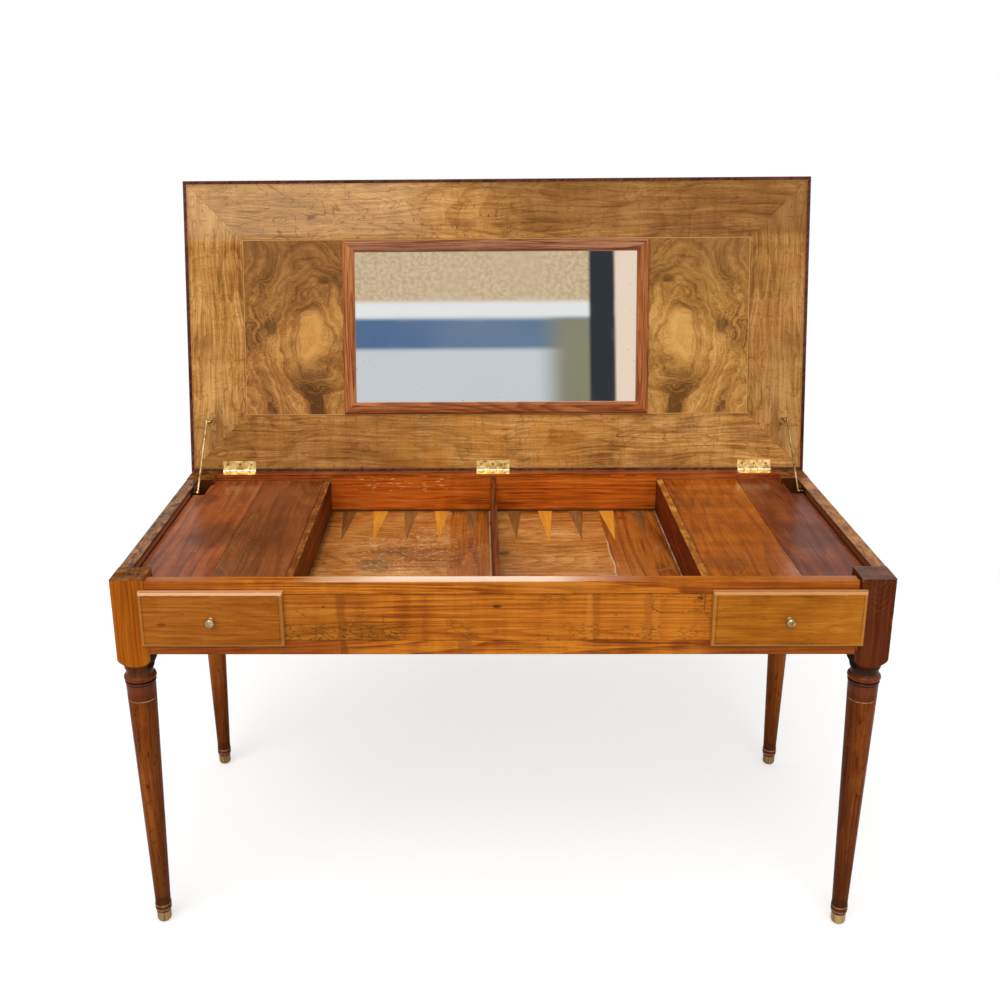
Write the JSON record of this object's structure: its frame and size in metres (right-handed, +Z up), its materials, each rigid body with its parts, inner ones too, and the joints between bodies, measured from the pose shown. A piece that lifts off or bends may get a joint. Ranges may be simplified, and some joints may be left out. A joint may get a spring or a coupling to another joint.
{
  "type": "games table",
  "caption": "Rectangular games table on turned legs, with a lifting mirror-lined lid, a backgammon well between covered compartments, and small drawers in the front.",
  "frame": {"origin": "on the floor, under the middle of the table with its lid open", "axes": "+X to the right, +Y to the back, +Z up; the drawers face -Y"},
  "size_m": [1.325, 0.787, 1.3087],
  "materials": {
    "cherry_leg": "french polish, worn at the edges",
    "cherry_rail": "french polish with fine cracks",
    "walnut_rail": "french polish",
    "drawer_front_wood": "satin polish, pale at the edges",
    "cover_wood": "french polish, glossy",
    "floor_wood": "satin, mottled",
    "lining_wood": "satin, scratched",
    "inlay_light": "satin",
    "inlay_dark": "satin",
    "secondary_wood": "bare, planed",
    "lid_veneer": "french polish",
    "burr_veneer": "french polish",
    "edging_wood": "french polish",
    "frame_wood": "french polish",
    "tip_wood": "bare and rubbed",
    "silvered_glass": "polished",
    "brass": "polished, dulled by age"
  },
  "bodies": {
    "case": {"leg_front_left": "cherry_leg", "leg_front_right": "cherry_leg", "leg_back_left": "cherry_leg", "leg_back_right": "cherry_leg", "foot_caps": "tip_wood", "front_top_rail": "cherry_rail", "front_bottom_rail": "cherry_rail", "front_panel": "cherry_rail", "back_rail": "cherry_rail", "side_rail_left": "walnut_rail", "side_rail_right": "walnut_rail", "well_floor": "floor_wood", "well_wall_left": "cover_wood", "well_wall_right": "cover_wood", "well_lining": "lining_wood", "centre_divider": "cover_wood", "points_light": "inlay_light", "points_dark": "inlay_dark", "glue_blocks": "secondary_wood", "cover_left_inner": "cover_wood", "cover_left_outer": "cover_wood", "cover_right_inner": "cover_wood", "cover_right_outer": "cover_wood", "cover_bearers": "secondary_wood", "drawer_runners": "secondary_wood", "hinge_case_leaves": "brass", "hinge_pins": "brass", "case_screws": "brass", "stay_bracket_left": "brass", "stay_bracket_right": "brass"},
    "lid": {"lid_core": "lid_veneer", "lid_edging": "edging_wood", "lid_border": "lid_veneer", "lid_burr_left": "burr_veneer", "lid_burr_right": "burr_veneer", "mirror_backing": "secondary_wood", "mirror_glass": "silvered_glass", "mirror_frame_top": "frame_wood", "mirror_frame_bottom": "frame_wood", "mirror_frame_left": "frame_wood", "mirror_frame_right": "frame_wood", "hinge_lid_leaves": "brass", "lid_screws": "brass", "stay_plate_left": "brass", "stay_plate_right": "brass"},
    "stay_left": {"stay_rod_left": "brass"},
    "stay_right": {"stay_rod_right": "brass"},
    "drawer_left": {"drawer_left_front": "drawer_front_wood", "drawer_left_side_outer": "secondary_wood", "drawer_left_side_inner": "secondary_wood", "drawer_left_back": "secondary_wood", "drawer_left_bottom": "secondary_wood", "drawer_left_knob": "brass"},
    "drawer_right": {"drawer_right_front": "drawer_front_wood", "drawer_right_side_outer": "secondary_wood", "drawer_right_side_inner": "secondary_wood", "drawer_right_back": "secondary_wood", "drawer_right_bottom": "secondary_wood", "drawer_right_knob": "brass"}
  },
  "joints": [
    {"name": "lid_hinge", "type": "hinge", "parent": "case", "child": "lid", "pos_m": [0, 0.25144, 0.7024], "axis": [1, 0, 0], "range_deg": [0, 101.2]},
    {"name": "stay_left_fold", "type": "hinge", "parent": "case", "child": "stay_left", "pos_m": [-0.623, 0.13343, 0.6919], "axis": [1, 0, 0], "range_deg": [0, 136.5]},
    {"name": "stay_right_fold", "type": "hinge", "parent": "case", "child": "stay_right", "pos_m": [0.623, 0.13343, 0.6919], "axis": [1, 0, 0], "range_deg": [0, 136.5]},
    {"name": "drawer_left_slide", "type": "slide", "parent": "case", "child": "drawer_left", "axis": [0, -1, 0], "range_m": [0, 0.33]},
    {"name": "drawer_right_slide", "type": "slide", "parent": "case", "child": "drawer_right", "axis": [0, -1, 0], "range_m": [0, 0.33]}
  ],
  "couplings": [
    {"joint": "stay_left_fold", "follows": "lid_hinge", "ratio": 1.3488},
    {"joint": "stay_right_fold", "follows": "lid_hinge", "ratio": 1.3488}
  ]
}
